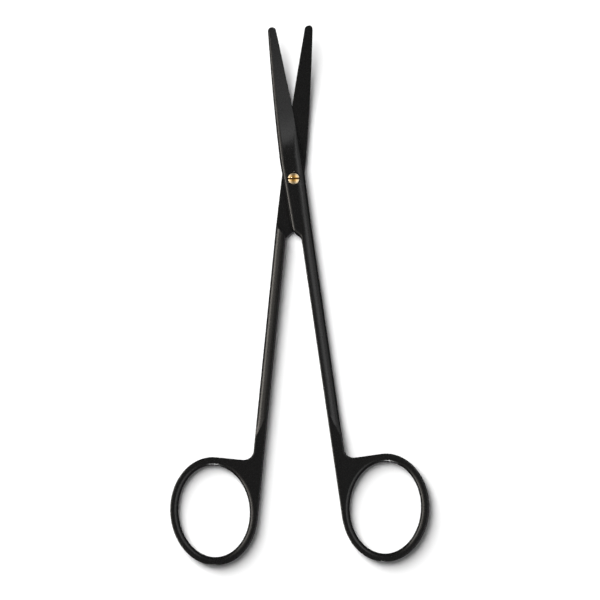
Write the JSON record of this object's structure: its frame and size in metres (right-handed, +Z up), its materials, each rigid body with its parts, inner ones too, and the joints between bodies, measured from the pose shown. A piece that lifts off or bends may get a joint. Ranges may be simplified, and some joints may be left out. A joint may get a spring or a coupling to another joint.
{
  "type": "dissecting scissors",
  "caption": "Curved dissecting scissors with satin black coating, oval finger rings, slim shanks and a lap joint on a gold slotted screw.",
  "frame": {"origin": "on the pivot axis, on the flat underside of the joint, which the scissors lie on", "axes": "+Z up along the pivot screw, towards its slotted head; +Y along the middle line between the two halves, towards the tips"},
  "size_m": [0.0856, 0.1777, 0.0116],
  "materials": {
    "black_coating": "satin",
    "gold_plating": "polished"
  },
  "bodies": {
    "lower": {"lower_half": "black_coating", "pivot_screw": "gold_plating"},
    "upper": {"upper_half": "black_coating"}
  },
  "joints": [
    {"name": "blade_pivot", "type": "hinge", "parent": "lower", "child": "upper", "pos_m": [0, 0, 0.0025], "axis": [0, 0, 1], "range_deg": [-14, 136]}
  ]
}
